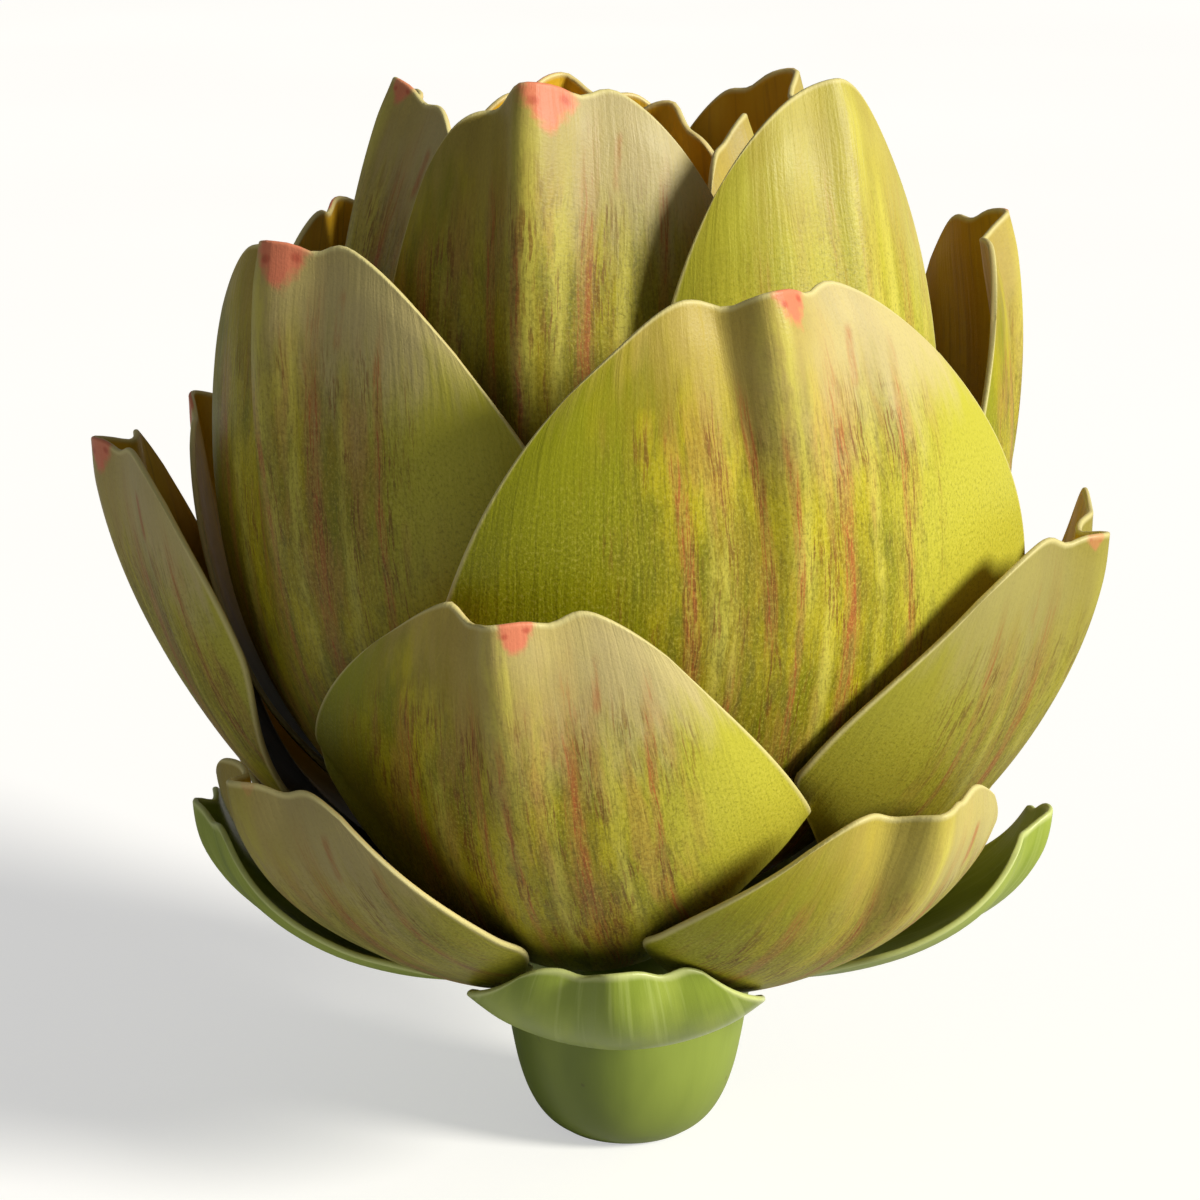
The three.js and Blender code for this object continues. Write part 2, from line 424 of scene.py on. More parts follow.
class Spine:
    """The mid-rib: a cubic curve in radius and height, measured along its length."""

    def __init__(self, leaf):
        root = np.array(leaf["root"])
        tip = np.array(leaf["tip"])
        reach = np.linalg.norm(tip - root)
        root_lean = math.radians(leaf["root_lean"])
        tip_lean = math.radians(leaf["tip_lean"])
        root_way = np.array((math.sin(root_lean), math.cos(root_lean)))
        tip_way = np.array((math.sin(tip_lean), math.cos(tip_lean)))
        handles = (
            root,
            root + root_way * reach * leaf["root_pull"],
            tip - tip_way * reach * leaf["tip_pull"],
            tip,
        )
        u = np.linspace(0, 1, SPINE_STEPS)[:, None]
        weights = ((1 - u) ** 3, 3 * u * (1 - u) ** 2, 3 * u**2 * (1 - u), u**3)
        self.points = sum(w * h for w, h in zip(weights, handles))
        steps = np.linalg.norm(np.diff(self.points, axis=0), axis=1)
        along = np.concatenate(([0], np.cumsum(steps)))
        self.length = along[-1]
        self.share = along / self.length
        ways = np.gradient(self.points, along, axis=0)
        self.ways = ways / np.linalg.norm(ways, axis=1, keepdims=True)

    def at(self, v):
        """Place and direction at a share v of the length, straight on past the tip."""
        inside = np.minimum(v, 1)
        place = [np.interp(inside, self.share, self.points[:, k]) for k in (0, 1)]
        way = [np.interp(inside, self.share, self.ways[:, k]) for k in (0, 1)]
        beyond = (v - inside) * self.length
        return place[0] + beyond * way[0], place[1] + beyond * way[1], way[0], way[1]


def flat_place(leaf, spine, s, t):
    """Side distance x and length share v of a grid point. s runs root to tip, and t left to right."""
    side_share = s * SIDE_END
    half = leaf["half_width"] * (1 + leaf["lopsided"] * np.sign(t))
    x = half * outline(leaf, side_share) * t
    form = x * leaf["hand"]
    left_at = leaf["left_lobe_at"]
    left_width = np.where(form < left_at, LOBE_WIDTH, leaf["left_lobe_steep"])
    right_width = np.where(form < RIGHT_LOBE_AT, LOBE_WIDTH, RIGHT_LOBE_SPREAD)
    wave = (
        leaf["left_lobe"] * bump(form, left_at, left_width)
        + leaf["right_lobe"] * bump(form, RIGHT_LOBE_AT, right_width)
        + leaf["far_lobe"] * bump(form, FAR_LOBE_AT, LOBE_WIDTH)
        - leaf["notch"] * bump(form, LEFT_NOTCH_AT, NOTCH_WIDTH)
        - leaf["notch"] * bump(form, RIGHT_NOTCH_AT, NOTCH_WIDTH)
    )
    top = crown(leaf, outline(leaf, SIDE_END) * t)
    v = side_share + s**2 * (top - SIDE_END) + s**5 * wave / spine.length
    return x, v


def blade_points(leaf, spine, s, t):
    """Points of the blade's middle surface."""
    x, v = flat_place(leaf, spine, s, t)
    form = x * leaf["hand"]
    r, z, way_r, way_z = spine.at(v)
    radius = leaf["curl"] * (leaf["curl_root"] + (1 - leaf["curl_root"]) * smooth(v, 0, 0.5))
    radius = radius * np.where(form < 0, leaf["left_flatter"], 1)
    bend = x / radius
    ridge = bump(form, 0, np.where(form < 0, RIDGE_LEFT, RIDGE_RIGHT))
    valley = VALLEY_DEPTH * bump(form, VALLEY_AT, VALLEY_WIDTH)
    rib = leaf["keel"] * smooth(v, RIB_START, 1) ** 1.3 * (ridge - valley)
    left_of_crease = np.maximum(CREASE_AT - form, 0)
    folded = np.sqrt(left_of_crease**2 + CREASE_ROUND**2) - CREASE_ROUND
    rib = rib - leaf["crease"] * smooth(v, 0, 0.4) * folded
    aside = radius * np.sin(bend)
    outward = rib - radius * (1 - np.cos(bend))

    clear = smooth(v, 0, CLEAR_BY)
    turn = math.radians(leaf["twist"]) * clear
    across = aside * np.cos(turn) - outward * np.sin(turn)
    off = aside * np.sin(turn) + outward * np.cos(turn) + leaf["out"] * clear
    r = r + way_z * off
    z = z - way_r * off
    azimuth = math.radians(leaf["azimuth"])
    side = across + leaf["sway"] * v**2
    return np.stack(
        (
            r * math.sin(azimuth) + side * math.cos(azimuth),
            -r * math.cos(azimuth) + side * math.sin(azimuth),
            z,
        ),
        axis=-1,
    )


def eased(count):
    """Stations from 0 to 1, closer together at both ends so that the rim is round."""
    even = np.linspace(0, 1, count)
    return even - CROWDING * np.sin(2 * math.pi * even) / (2 * math.pi)


def blade_normal(leaf, spine, s, t):
    """Direction out of the blade's middle surface."""
    step = NORMAL_STEP
    up = blade_points(leaf, spine, np.minimum(s + step, 1), t)
    up = up - blade_points(leaf, spine, np.maximum(s - step, 0), t)
    over = blade_points(leaf, spine, s, np.minimum(t + step, 1))
    over = over - blade_points(leaf, spine, s, np.maximum(t - step, -1))
    normal = np.cross(over, up)
    return normal / np.linalg.norm(normal, axis=-1, keepdims=True)


def blade_grid(leaf, spine, seed):
    """Outer and inner sheets of a blade, which meet in a round rim, with their surface coordinates.

    The coordinates are kept on the points for the materials, all lengths in millimetres. blade is the place
    across the fibres, the place along them and the blade's seed. tip is the form's x, the depth below the
    top edge and the distance from the nearest edge. share is marks, the share of the length and the spot's
    half width. tint is the painted shade (a darker olive over the whole bract), lime and film.
    """
    rows, columns = leaf["grid"]
    s, t = np.meshgrid(eased(rows), 2 * eased(columns) - 1, indexing="ij")
    x, v = flat_place(leaf, spine, s, t)
    _, top = flat_place(leaf, spine, np.ones_like(s), t)
    below_top = (top - v) * spine.length
    from_side = (1 - np.abs(t)) * leaf["half_width"] * outline(leaf, s * SIDE_END)
    from_edge = np.minimum(below_top, from_side)
    thin = smooth(s, 0, THIN_BY)
    half = (leaf["root_thick"] * (1 - thin) + leaf["blade_thick"] * thin) / 2
    half = half * (EDGE_THICK + (1 - EDGE_THICK) * smooth(from_edge, 0, RIM_WIDTH))
    inside = np.clip(np.minimum(from_edge, v * spine.length) / half, 0, 1)
    half = half * np.sqrt(1 - (1 - inside) ** 2)
    middle = blade_points(leaf, spine, s, t)
    offset = blade_normal(leaf, spine, s, t) * half[..., None]
    fibre = ((1 - FIBRE_SPREAD) * x + FIBRE_SPREAD * leaf["half_width"] * t) * leaf["hand"]

    def stacked(*parts):
        return np.stack([np.broadcast_to(part, v.shape) for part in parts], axis=-1)

    coordinates = dict(
        blade=stacked(fibre / MM, v * spine.length / MM, seed),
        tip=stacked(x * leaf["hand"], below_top, from_edge) / MM,
        share=stacked(leaf["marks"], v, leaf["spot"] / MM),
        tint=stacked(leaf["painted_shade"], leaf["lime"], leaf["film"]),
    )
    return middle + offset, middle - offset, coordinates


def blade_mesh(name, leaf, seed):
    """One closed mesh: outer sheet in material 0, inner sheet in material 1, sharing the rim's points."""
    outer, inner, coordinates = blade_grid(leaf, Spine(leaf), seed)
    rows, columns = leaf["grid"]
    index = np.arange(rows * columns).reshape(rows, columns)
    rim = np.zeros((rows, columns), bool)
    rim[0] = rim[-1] = True
    rim[:, 0] = rim[:, -1] = True
    back = index.copy()
    back[~rim] = rows * columns + np.arange(np.count_nonzero(~rim))
    points = np.concatenate((outer.reshape(-1, 3), inner[~rim]))

    def quads(grid, flip):
        corners = [grid[:-1, :-1], grid[:-1, 1:], grid[1:, 1:], grid[1:, :-1]]
        if flip:
            corners.reverse()
        return np.stack(corners, axis=-1).reshape(-1, 4)

    faces = np.concatenate((quads(index, False), quads(back, True)))
    mesh = bpy.data.meshes.new(name)
    mesh.from_pydata(points.tolist(), [], faces.tolist())
    for key, values in coordinates.items():
        flat = np.concatenate((values.reshape(-1, 3), values[~rim]))
        layer = mesh.attributes.new(key, "FLOAT_VECTOR", "POINT")
        layer.data.foreach_set("vector", flat.astype(np.float32).ravel())
    half = len(faces) // 2
    sides = np.repeat((0, 1), half).astype(np.int32)
    mesh.polygons.foreach_set("material_index", sides)
    mesh.polygons.foreach_set("use_smooth", np.ones(len(faces), bool))
    mesh.update()
    return mesh


# Materials

def srgb(red, green, blue):
    """A colour given as it looks on a screen, 0 to 255, as the linear colour that a shader takes."""
    def linear(value):
        share = value / 255
        return share / 12.92 if share <= 0.04045 else ((share + 0.055) / 1.055) ** 2.4

    return (linear(red), linear(green), linear(blue), 1)


# Colours of a bract's outside.
OLIVE = srgb(126, 124, 12)
OCHRE = srgb(146, 131, 28)
YELLOW = srgb(178, 166, 22)
LIME = srgb(182, 178, 54)
GREEN = srgb(140, 142, 8)
PALE_YELLOW = srgb(204, 194, 88)
# DARK_OLIVE gives the dark grain points, and where it is laid over whole bracts it is painted shade.
DARK_OLIVE = srgb(82, 76, 20)
# KHAKI, used left of the ridge in the pale tip, is partly painted shade for the side turned from the light.
KHAKI = srgb(172, 151, 76)
BEIGE = srgb(196, 180, 130)
LEMON = srgb(202, 194, 82)
ROSE_BROWN = srgb(176, 122, 70)
RED_BROWN = srgb(116, 60, 26)
BARK = srgb(96, 82, 26)
BRICK = srgb(170, 82, 44)
GREY_GREEN = srgb(74, 78, 44)
CREAM = srgb(208, 198, 136)
SALMON = srgb(216, 116, 90)
SPOT_DARK = srgb(168, 62, 46)

# Colours of a bract's inside, from its top down. The ochre at the top is brightened as painted light shining
# through the blade, and the deepest colour is a near-black painted shade.
INSIDE_TOP_WITH_PAINTED_GLOW = (srgb(198, 148, 20), srgb(214, 170, 34))
INSIDE_MIDDLE = srgb(84, 76, 28)
INSIDE_PAINTED_SHADE = srgb(36, 35, 16)
INSIDE_LINE = srgb(112, 76, 36)
INSIDE_RIM = srgb(210, 196, 136)

# Colours of the collar leaves and of the stem.
COLLAR_GREEN = (srgb(128, 146, 40), srgb(152, 168, 60))
COLLAR_LOW = srgb(142, 160, 60)
COLLAR_LINE = srgb(176, 190, 104)
COLLAR_RIM = srgb(196, 204, 132)
WHITISH_FILM = srgb(222, 228, 206)
STEM_GREEN = (srgb(108, 124, 40), srgb(130, 146, 54))
STEM_LOW = srgb(96, 108, 40)
STEM_SPECK = srgb(84, 74, 40)

FLOOR_GREY = ((0.6, 0.6, 0.59, 1), (0.62, 0.62, 0.61, 1))

# Marks that every bract has: place beside the ridge, half width, first and last depth below the top, in mm.
RED_MARKS = [
    (6.2, 1.1, 9, 78),
    (13.8, 0.6, 8, 44),
    (-2.6, 0.7, 9, 34),
    (-10.6, 0.9, 12, 40),
    (-6.6, 0.6, 36, 72),
    (11.6, 0.7, 50, 80),
    (0.2, 0.5, 14, 48),
]
RED_DASHES = [
    (9.0, 0.5, 4.5, 9.5),
    (6.4, 0.4, 14, 34),
]
# The first two, just right of the ridge, are a painted highlight on its lit side; the other two are yellow
# marks.
YELLOW_MARKS_AND_RIDGE_HIGHLIGHT = [
    (0.6, 1.5, 1, 30),
    (3.6, 1.0, 8, 46),
    (9.8, 0.8, 12, 60),
    (-7.5, 1.6, 18, 60),
]
DARK_MARKS = [
    (2.4, 1.3, 42, 80),
    (-3.4, 1.6, 50, 84),
    (8.4, 1.0, 46, 74),
    (14.6, 0.8, 56, 78),
]


class Graph:
    """Short ways to add nodes to one material."""

    def __init__(self, name):
        self.material = bpy.data.materials.new(name)
        self.material.use_nodes = True
        self.tree = self.material.node_tree
        self.shader = self.tree.nodes["Principled BSDF"]

    def node(self, kind, inputs=(), **settings):
        made = self.tree.nodes.new(kind)
        for key, value in settings.items():
            setattr(made, key, value)
        for key, value in dict(inputs).items():
            self.put(made.inputs[key], value)
        return made

    def put(self, socket, value):
        if isinstance(value, bpy.types.NodeSocket):
            self.tree.links.new(value, socket)
        else:
            socket.default_value = value

    def attribute(self, name):
        return self.node("ShaderNodeAttribute", attribute_name=name).outputs["Vector"]

    def split(self, vector):
        return self.node("ShaderNodeSeparateXYZ", {0: vector}).outputs

    def math(self, operation, a, b=0.0, c=0.0):
        return self.node("ShaderNodeMath", {0: a, 1: b, 2: c}, operation=operation).outputs[0]

    def step(self, value, low, high, out_low=0.0, out_high=1.0):
        """Smooth change from out_low to out_high while value goes from low to high."""
        inputs = {"Value": value, "From Min": low, "From Max": high, "To Min": out_low, "To Max": out_high}
        made = self.node("ShaderNodeMapRange", inputs, interpolation_type="SMOOTHSTEP")
        return made.outputs["Result"]

    def stretched(self, vector, scale, shift=(0, 0, 0)):
        inputs = {"Vector": vector, "Scale": scale, "Location": shift}
        return self.node("ShaderNodeMapping", inputs).outputs["Vector"]

    def noise(self, vector, scale=1.0, detail=2.0, roughness=0.5):
        inputs = {"Vector": vector, "Scale": scale, "Detail": detail, "Roughness": roughness}
        return self.node("ShaderNodeTexNoise", inputs).outputs["Fac"]

    def mix(self, share, a, b):
        """Colour a, or b where share is 1."""
        made = self.node("ShaderNodeMix", data_type="RGBA")
        self.put(made.inputs[0], share)
        self.put(made.inputs[6], a)
        self.put(made.inputs[7], b)
        return made.outputs[2]

    def bump(self, height, strength, distance):
        inputs = {"Height": height, "Strength": strength, "Distance": distance}
        return self.node("ShaderNodeBump", inputs).outputs["Normal"]

    def finish(self, colour, roughness, normal, specular=0.5):
        self.put(self.shader.inputs["Base Color"], colour)
        self.put(self.shader.inputs["Roughness"], roughness)
        self.put(self.shader.inputs["Normal"], normal)
        self.shader.inputs["Specular IOR Level"].default_value = specular
        return self.material


def streaks(graph, place, width, length, shift, low, high, detail=2.0):
    """Share of a kind of lengthwise streak, about width by length millimetres."""
    scale = (1 / width, 1 / length, 9.7)
    vector = graph.stretched(place, scale, shift)
    return graph.step(graph.noise(vector, detail=detail, roughness=0.55), low, high)


def grain_normal(graph, place, fibre=0.35, depth=0.00025):
    """Fine lengthwise fibres with a little grain."""
    fibres = graph.noise(graph.stretched(place, (1.6, 0.07, 5)), detail=3)
    grain = graph.noise(graph.stretched(place, (3.2, 3.2, 5)), detail=2)
    height = graph.math("MULTIPLY_ADD", grain, 0.35, fibres)
    return graph.bump(height, fibre, depth)


def window(graph, value, low, high, soft):
    """1 while value is between low and high, 0 outside, with soft ends."""
    rises = graph.step(value, low - soft / 2, low + soft / 2)
    falls = graph.step(value, high - soft / 2, high + soft / 2, 1.0, 0.0)
    return graph.math("MULTIPLY", rises, falls)


def placed(graph, form, below_top, marks):
    """Share of the marks of one kind; each is (form, half width, first and last depth below the top)."""
    total = None
    for at, half, first, last in marks:
        aside = graph.math("ABSOLUTE", graph.math("SUBTRACT", form, at))
        across = graph.step(aside, 0.25 * half, 1.25 * half, 1.0, 0.0)
        along = window(graph, below_top, first, last, 0.3 * (last - first))
        mark = graph.math("MULTIPLY", across, along)
        total = mark if total is None else graph.math("MAXIMUM", total, mark)
    return total


def tapered(graph, *shares):
    """The product of several shares."""
    total = shares[0]
    for share in shares[1:]:
        total = graph.math("MULTIPLY", total, share)
    return total


def wavered(graph, place):
    """The blade's own coordinates, shifted aside a little so that no streak runs quite straight."""
    waver = graph.noise(graph.stretched(place, (0.3, 0.09, 5.7), (1, 8, 0)), detail=3)
    parts = graph.split(place)
    aside = graph.math("MULTIPLY_ADD", waver, 1.3, parts[0])
    return graph.node("ShaderNodeCombineXYZ", {0: aside, 1: parts[1], 2: parts[2]}).outputs[0]


def blade_base(graph, place, form, along, lime):
    """Olive and ochre in the middle, smooth green to the left, lime to the right, in soft patches."""
    soft = graph.noise(graph.stretched(place, (0.15, 0.045, 3.1)), detail=5, roughness=0.6)
    broad = graph.noise(graph.stretched(place, (0.4, 0.07, 4.3), (7, 0, 0)), detail=5, roughness=0.65)
    middle = graph.mix(graph.step(broad, 0.36, 0.62), OLIVE, OCHRE)
    middle = graph.mix(graph.step(soft, 0.44, 0.62), middle, YELLOW)
    wander = graph.math("MULTIPLY_ADD", soft, 16.0, form)
    colour = graph.mix(graph.step(wander, 15.0, 27.0), middle, LIME)
    colour = graph.mix(graph.step(wander, -2.0, -13.0), colour, GREEN)
    colour = graph.mix(graph.step(along, 0.42, 0.08, 0, 0.6), colour, GREEN)
    return graph.mix(graph.math("MULTIPLY", lime, graph.step(broad, 0.3, 0.7, 0.9, 0.5)), colour, LIME)


def pale_top(graph, colour, form, below_top, lime, ragged, cloud):
    """The khaki to beige band along the top edge, deepest at the mid-rib, with a ragged lower end. The khaki
    left of the ridge is the tip's pale colour darkened as painted shade for the side turned from the light.
    """
    ragged_edge = graph.math("MULTIPLY_ADD", ragged, 24.0, below_top)
    off_middle = graph.math("ABSOLUTE", graph.math("SUBTRACT", form, 6.0))
    ragged_edge = graph.math("ADD", ragged_edge, graph.step(off_middle, 7.0, 22.0, 0.0, 15.0))
    band = graph.step(ragged_edge, 18.0, 34.0, 1.0, 0.0)
    rightward = graph.math("MULTIPLY_ADD", cloud, 14.0, form)
    # Partly painted shade: the pale tip turns darker khaki left of the ridge, and beige to its right.
    pale = graph.mix(graph.step(rightward, 2.0, 18.0), KHAKI, BEIGE)
    return graph.mix(tapered(graph, band, graph.step(lime, 0.0, 1.0, 0.8, 0.45)), colour, pale)


def red_streaks(graph, colour, place, form, below_top, marks, broken):
    """Rose-brown blushes with thin brick and red-brown lines in them, fine specks and a few short dashes."""
    aside = graph.math("ABSOLUTE", form)
    reach = tapered(graph, graph.step(aside, 22.0, 14.0), graph.step(below_top, 5.0, 14.0), marks)
    bundles = tapered(graph, placed(graph, form, below_top, RED_MARKS), marks)
    blush = streaks(graph, place, 2.8, 18, (53, 4, 0), 0.5, 0.66, detail=4)
    blush = graph.math("MAXIMUM", tapered(graph, blush, reach, 0.4), graph.math("MULTIPLY", bundles, 0.45))
    colour = graph.mix(blush, colour, ROSE_BROWN)
    lines = streaks(graph, place, 0.24, 5, (17, 9, 0), 0.5, 0.6, detail=3)
    colour = graph.mix(tapered(graph, lines, bundles, 0.66), colour, BRICK)
    patches = streaks(graph, place, 2.4, 14, (91, 2, 0), 0.5, 0.62, detail=3)
    thin = streaks(graph, place, 0.22, 3.4, (67, 3, 0), 0.5, 0.58, detail=3)
    colour = graph.mix(tapered(graph, thin, patches, reach, 0.66), colour, RED_BROWN)
    specks = streaks(graph, place, 0.25, 2.2, (29, 6, 0), 0.52, 0.6, detail=3)
    colour = graph.mix(tapered(graph, specks, reach, 0.3), colour, BARK)
    dashes = tapered(graph, placed(graph, form, below_top, RED_DASHES), marks, broken, 0.6)
    return graph.mix(dashes, colour, BRICK)


def dark_smudges(graph, colour, place, form, below_top):
    """Cloudy grey-green smudges on the lower blade."""
    cloudy = streaks(graph, place, 1.1, 5, (121, 5, 0), 0.5, 0.64, detail=5)
    low = graph.step(below_top, 14.0, 36.0, 0.0, 0.5)
    smudge = graph.math("MAXIMUM", placed(graph, form, below_top, DARK_MARKS), low)
    aside = graph.math("ABSOLUTE", form)
    smudge = tapered(graph, cloudy, smudge, graph.step(aside, 24.0, 15.0), 0.52)
    return graph.mix(smudge, colour, GREY_GREEN)


def fine_grain(graph, colour, place, below_top):
    """Tiny pale and dark points all over, fewer near the top edge."""
    grain = graph.noise(graph.stretched(place, (3.6, 2.2, 7)), detail=4, roughness=0.75)
    lower = graph.step(below_top, 6.0, 22.0, 0.25, 1.0)
    colour = graph.mix(tapered(graph, graph.step(grain, 0.5, 0.66), lower, 0.4), colour, PALE_YELLOW)
    return graph.mix(tapered(graph, graph.step(grain, 0.5, 0.34), lower, 0.45), colour, DARK_OLIVE)


def outer_face():
    """The waxy outside: pale tip, olive to lime blade, broken red-brown and dark streaks, cream rim, a
    painted highlight beside the ridge and painted shade over some bracts.
    """
    graph = Graph("bract_outer_face")
    place = wavered(graph, graph.attribute("blade"))
    tip = graph.split(graph.attribute("tip"))
    below_top, from_edge = tip[1], tip[2]
    share = graph.split(graph.attribute("share"))
    marks, along, spot = share[0], share[1], share[2]
    tint = graph.split(graph.attribute("tint"))
    painted_shade, lime = tint[0], tint[1]
    waver = graph.noise(graph.stretched(place, (0.04, 0.035, 8.3), (0, 7, 0)), detail=1)
    form = graph.math("MULTIPLY_ADD", graph.math("SUBTRACT", waver, 0.5), 2.4, tip[0])
    cloud = graph.noise(graph.stretched(place, (0.12, 0.1, 3.7)), detail=3)
    ragged = graph.noise(graph.stretched(place, (0.45, 0.08, 6.1), (3, 0, 0)), detail=5, roughness=0.65)
    broken = graph.step(ragged, 0.35, 0.6)

    colour = blade_base(graph, place, form, along, lime)
    colour = pale_top(graph, colour, form, below_top, lime, ragged, cloud)
    # Painted highlight: lemon strips on the lit side of the ridge, together with the other yellow marks.
    ridge_highlight_and_yellow = tapered(graph, placed(graph, form, below_top, YELLOW_MARKS_AND_RIDGE_HIGHLIGHT), broken, 0.7)
    colour = graph.mix(ridge_highlight_and_yellow, colour, LEMON)
    colour = red_streaks(graph, colour, place, form, below_top, marks, broken)
    colour = dark_smudges(graph, colour, place, form, below_top)
    colour = fine_grain(graph, colour, place, below_top)
    # Painted shade: some bracts are darkened all over towards a darker olive, leaf by leaf.
    colour = graph.mix(painted_shade, colour, DARK_OLIVE)
    colour = graph.mix(graph.step(from_edge, 0.15, 0.7, 0.8, 0.0), colour, CREAM)
    pink, dots = pink_spot(graph, tip[0], below_top, spot, place)
    colour = graph.mix(pink, colour, SALMON)
    colour = graph.mix(dots, colour, SPOT_DARK)
    roughness = graph.step(cloud, 0.3, 0.7, 0.42, 0.54)
    return graph.finish(colour, roughness, grain_normal(graph, place), specular=0.24)


def pink_spot(graph, form, below_top, size, place):
    """Shares of a heart-like spot beside the ridge's end, and of two darker points in it.

    size is its half width at the top edge in mm; the spot is a little deeper than wide.
    """
    depth = graph.math("DIVIDE", below_top, graph.math("MAXIMUM", size, 0.1))
    aside = graph.math("DIVIDE", graph.math("SUBTRACT", form, 2.2), graph.math("MAXIMUM", size, 0.1))
    uneven = graph.noise(graph.stretched(place, (0.9, 0.9, 5.3)), detail=3)
    half = graph.step(depth, 0.2, 2.1, 1.0, 0.25)
    inside = graph.math("SUBTRACT", graph.math("ABSOLUTE", aside), half)
    inside = graph.math("MULTIPLY_ADD", graph.math("SUBTRACT", uneven, 0.5), 0.8, inside)
    across = graph.step(inside, -0.3, 0.25, 1.0, 0.0)
    down = graph.step(graph.math("MULTIPLY_ADD", uneven, 0.8, depth), 1.8, 2.6, 1.0, 0.0)
    there = graph.step(size, 0.2, 1.6, 0.0, 0.86)
    pink = tapered(graph, across, down, there)
    dots = None
    for at, low in ((-0.55, 0.75), (0.6, 0.5)):
        dx = graph.math("SUBTRACT", aside, at)
        dy = graph.math("SUBTRACT", depth, low)
        distance = graph.math("SQRT", graph.math("MULTIPLY_ADD", dx, dx, graph.math("MULTIPLY", dy, dy)))
        dot = graph.step(distance, 0.06, 0.3, 0.65, 0.0)
        dots = dot if dots is None else graph.math("MAXIMUM", dots, dot)
    return pink, tapered(graph, dots, there)


def inner_face():
    """The smoother inside: ochre near the top, brightened as painted light shining through, brown-olive
    lower down, near-black painted shade deepest in, with faint streaks.
    """
    graph = Graph("bract_inner_face")
    place = graph.attribute("blade")
    from_edge = graph.split(graph.attribute("tip"))[2]
    along = graph.split(graph.attribute("share"))[1]
    soft = graph.noise(graph.stretched(place, (0.2, 0.03, 2.7), (5, 0, 0)), detail=3)
    # Painted light: the ochre near the top is brighter than the blade's own colour, as light shining through
    # it.
    colour = graph.mix(graph.step(soft, 0.35, 0.65), *INSIDE_TOP_WITH_PAINTED_GLOW)
    colour = graph.mix(graph.step(along, 0.75, 0.45), colour, INSIDE_MIDDLE)
    # Painted shade: near-black towards the root of the inside, where the bracts close in.
    colour = graph.mix(graph.step(along, 0.5, 0.2), colour, INSIDE_PAINTED_SHADE)
    line = streaks(graph, place, 0.9, 22, (19, 0, 0), 0.55, 0.7)
    colour = graph.mix(graph.math("MULTIPLY", line, 0.25), colour, INSIDE_LINE)
    colour = graph.mix(graph.step(from_edge, 0.15, 0.7, 0.8, 0.0), colour, INSIDE_RIM)
    roughness = graph.step(soft, 0.3, 0.7, 0.42, 0.52)
    return graph.finish(colour, roughness, grain_normal(graph, place, 0.22))


def collar_face():
    """Collar leaves: smooth light green, pale soft streaks, a thin pale rim, and a whitish film on one."""
    graph = Graph("collar_leaf_face")
    place = graph.attribute("blade")
    tip = graph.split(graph.attribute("tip"))
    from_edge = tip[2]
    filmed = graph.split(graph.attribute("tint"))[2]
    along = graph.split(graph.attribute("share"))[1]
    soft = graph.noise(graph.stretched(place, (0.22, 0.06, 2.1), (2, 0, 0)), detail=3)
    colour = graph.mix(graph.step(soft, 0.35, 0.65), *COLLAR_GREEN)
    colour = graph.mix(graph.step(along, 0.5, 0.0, 0.0, 0.4), colour, COLLAR_LOW)
    line = streaks(graph, place, 0.8, 24, (11, 0, 0), 0.54, 0.7)
    colour = graph.mix(graph.math("MULTIPLY", line, 0.35), colour, COLLAR_LINE)
    colour = graph.mix(graph.step(from_edge, 0.2, 0.9, 0.8, 0.0), colour, COLLAR_RIM)
    film = graph.step(graph.math("MULTIPLY_ADD", soft, 6.0, tip[0]), 3.0, 9.0)
    film = tapered(graph, film, graph.step(along, 0.62, 0.4), filmed, 0.7)
    colour = graph.mix(film, colour, WHITISH_FILM)
    roughness = graph.step(soft, 0.3, 0.7, 0.36, 0.48)
    return graph.finish(colour, roughness, grain_normal(graph, place, 0.15))


def stem_skin():
    """The stem: smooth light green, a few small brown specks, faint lengthwise fibres."""
    graph = Graph("stem_skin")
    place = graph.node("ShaderNodeTexCoord").outputs["Object"]
    height = graph.split(place)[2]
    soft = graph.noise(graph.stretched(place, (90, 90, 30)), detail=3)
    colour = graph.mix(graph.step(soft, 0.35, 0.65), *STEM_GREEN)
    colour = graph.mix(graph.step(height, 0.012, 0.0, 0.0, 0.5), colour, STEM_LOW)
    specks = graph.noise(graph.stretched(place, (520, 520, 420), (3, 1, 2)), detail=1)
    colour = graph.mix(graph.step(specks, 0.74, 0.8, 0.0, 0.6), colour, STEM_SPECK)
    fibres = graph.noise(graph.stretched(place, (900, 900, 60)), detail=3)
    roughness = graph.step(soft, 0.3, 0.7, 0.38, 0.5)
    return graph.finish(colour, roughness, graph.bump(fibres, 0.12, 0.0002))


def floor_paint():
    """Matte pale floor with the faintest mottling, shown nearly white as on a light table."""
    graph = Graph("pale_floor")
    place = graph.node("ShaderNodeTexCoord").outputs["Object"]
    mottle = graph.noise(place, scale=3, detail=2)
    colour = graph.mix(graph.step(mottle, 0.3, 0.7), *FLOOR_GREY)
    seen = graph.node("ShaderNodeLightPath").outputs["Is Camera Ray"]
    graph.shader.inputs["Emission Color"].default_value = (1, 1, 1, 1)
    graph.put(graph.shader.inputs["Emission Strength"], graph.math("MULTIPLY", seen, FLOOR_LIFT))
    return graph.finish(colour, 0.8, graph.bump(mottle, 0.02, 0.001), specular=0.2)


# Pieces

def add_object(name, mesh, materials):
    made = bpy.data.objects.new(name, mesh)
    bpy.context.scene.collection.objects.link(made)
    for material in materials:
        mesh.materials.append(material)
    return made


def belongs(piece, node):
    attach(piece, "root")
    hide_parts(node)


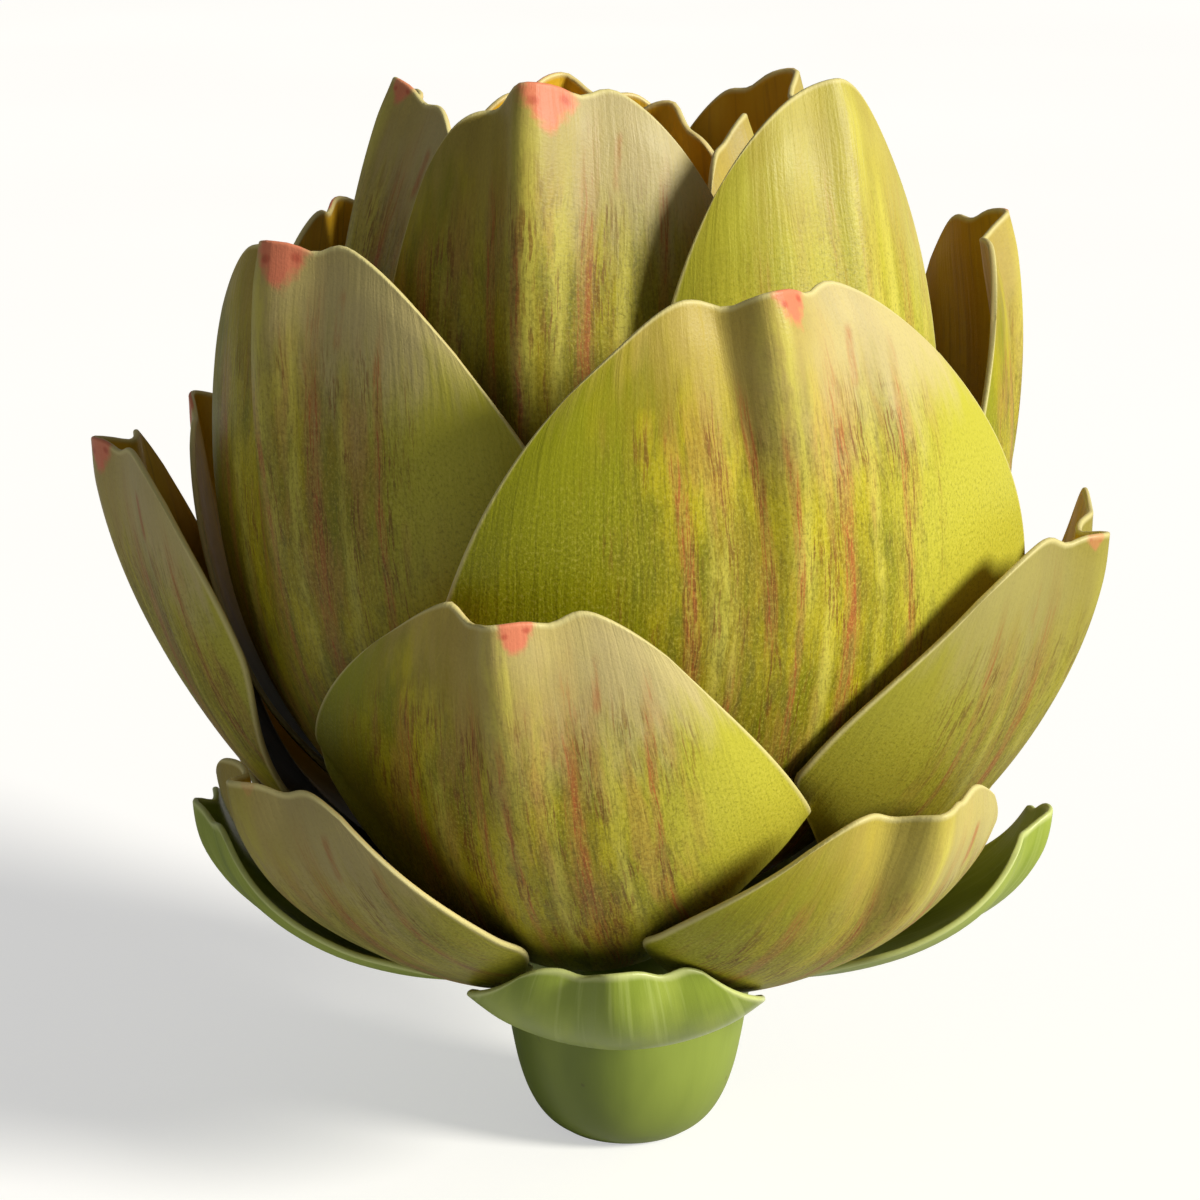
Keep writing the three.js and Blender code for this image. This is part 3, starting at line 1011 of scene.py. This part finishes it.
def rounded_profile(steps=6):
    """The stem's profile with each stretch split along a smooth curve through its corners."""
    corners = np.array(STEM_PROFILE)
    padded = np.vstack((corners[0] * 2 - corners[1], corners, corners[-1] * 2 - corners[-2]))
    points = [corners[0]]
    for k in range(1, len(corners)):
        a, b, c, d = padded[k - 1 : k + 3]
        flat = k == 1
        for u in np.linspace(0, 1, steps + 1)[1:]:
            curve = b + 0.5 * u * (c - a + u * (2 * a - 5 * b + 4 * c - d + u * (3 * (b - c) + d - a)))
            points.append(b + (c - b) * u if flat else curve)
    points = np.array(points)
    points[:, 0] = np.maximum(points[:, 0], 0)
    points[:, 1] = np.maximum(points[:, 1], 0)
    return points


def stem_and_heart(skin):
    profile = rounded_profile()[1:-1]
    angles = np.linspace(0, 2 * math.pi, STEM_SIDES, endpoint=False)
    ring = np.stack((np.cos(angles), np.sin(angles)), axis=-1)
    points = [(0.0, 0.0, 0.0), (0.0, 0.0, STEM_PROFILE[-1][1])]
    for radius, height in profile:
        points += [(radius * x, radius * y, height) for x, y in ring]
    faces = []
    last = 2 + (len(profile) - 1) * STEM_SIDES
    for j in range(STEM_SIDES):
        k = (j + 1) % STEM_SIDES
        faces.append((0, 2 + k, 2 + j))
        faces.append((1, last + j, last + k))
        for i in range(len(profile) - 1):
            low = 2 + i * STEM_SIDES
            high = low + STEM_SIDES
            faces.append((low + j, low + k, high + k, high + j))
    mesh = bpy.data.meshes.new("stem")
    mesh.from_pydata(points, [], faces)
    mesh.polygons.foreach_set("use_smooth", np.ones(len(faces), bool))
    mesh.update()
    piece = add_object("stem", mesh, [skin])
    belongs(piece, "stem_and_heart")


def whorls(finishes):
    seed = 0
    for whorl in WHORLS:
        common = {key: value for key, value in whorl.items() if key not in ("name", "bracts", "finish")}
        slot = whorl.get("finish", "bract")
        for number, own in enumerate(whorl["bracts"], 1):
            seed += 1
            node = f"{whorl['name']}_{number}"
            leaf = PLAIN | common | own
            mesh = blade_mesh(node + "_blade", leaf, seed)
            piece = add_object(node + "_blade", mesh, finishes[slot])
            belongs(piece, node)


# Camera, floor and light

def add_camera():
    data = bpy.data.cameras.new("camera")
    data.lens = LENS
    data.clip_start = 0.01
    camera = bpy.data.objects.new("camera", data)
    bpy.context.scene.collection.objects.link(camera)
    back = Vector((0, -math.cos(CAMERA_ELEVATION), math.sin(CAMERA_ELEVATION)))
    camera.location = CAMERA_TARGET + back * CAMERA_DISTANCE
    camera.rotation_euler = (CAMERA_TARGET - camera.location).to_track_quat("-Z", "Y").to_euler()
    bpy.context.scene.camera = camera


def add_floor():
    half = FLOOR_HALF_WIDTH
    corners = [(-half, -half, 0), (half, -half, 0), (half, half, 0), (-half, half, 0)]
    mesh = bpy.data.meshes.new("floor")
    mesh.from_pydata(corners, [], [(0, 1, 2, 3)])
    add_object("floor", mesh, [floor_paint()])


def add_sun(name, azimuth, elevation, strength, spread, colour):
    """A soft distant light."""
    data = bpy.data.lights.new(name, "SUN")
    data.angle = math.radians(spread)
    data.energy = strength
    data.color = colour
    light = bpy.data.objects.new(name, data)
    bpy.context.scene.collection.objects.link(light)
    around = math.radians(azimuth)
    up = math.radians(elevation)
    way = Vector((math.sin(around) * math.cos(up), -math.cos(around) * math.cos(up), math.sin(up)))
    light.location = CAMERA_TARGET + way
    light.rotation_euler = (-way).to_track_quat("-Z", "Y").to_euler()


def add_world(brightness):
    """Even soft light all round, with a white background behind the object."""
    world = bpy.data.worlds.new("studio")
    world.use_nodes = True
    tree = world.node_tree
    background = tree.nodes["Background"]
    background.inputs["Color"].default_value = (1, 1, 1, 1)
    seen = tree.nodes.new("ShaderNodeLightPath").outputs["Is Camera Ray"]
    level = tree.nodes.new("ShaderNodeMapRange")
    level.inputs["To Min"].default_value = brightness
    level.inputs["To Max"].default_value = 1.0
    tree.links.new(seen, level.inputs["Value"])
    tree.links.new(level.outputs["Result"], background.inputs["Strength"])
    bpy.context.scene.world = world


add_camera()
add_floor()
add_world(WORLD_BRIGHTNESS)
add_sun("key", **KEY_LIGHT)
bpy.context.scene.view_settings.view_transform = "Standard"

stem_and_heart(stem_skin())
inside = inner_face()
collar = collar_face()
whorls(dict(bract=[outer_face(), inside], collar_leaf=[collar, collar]))
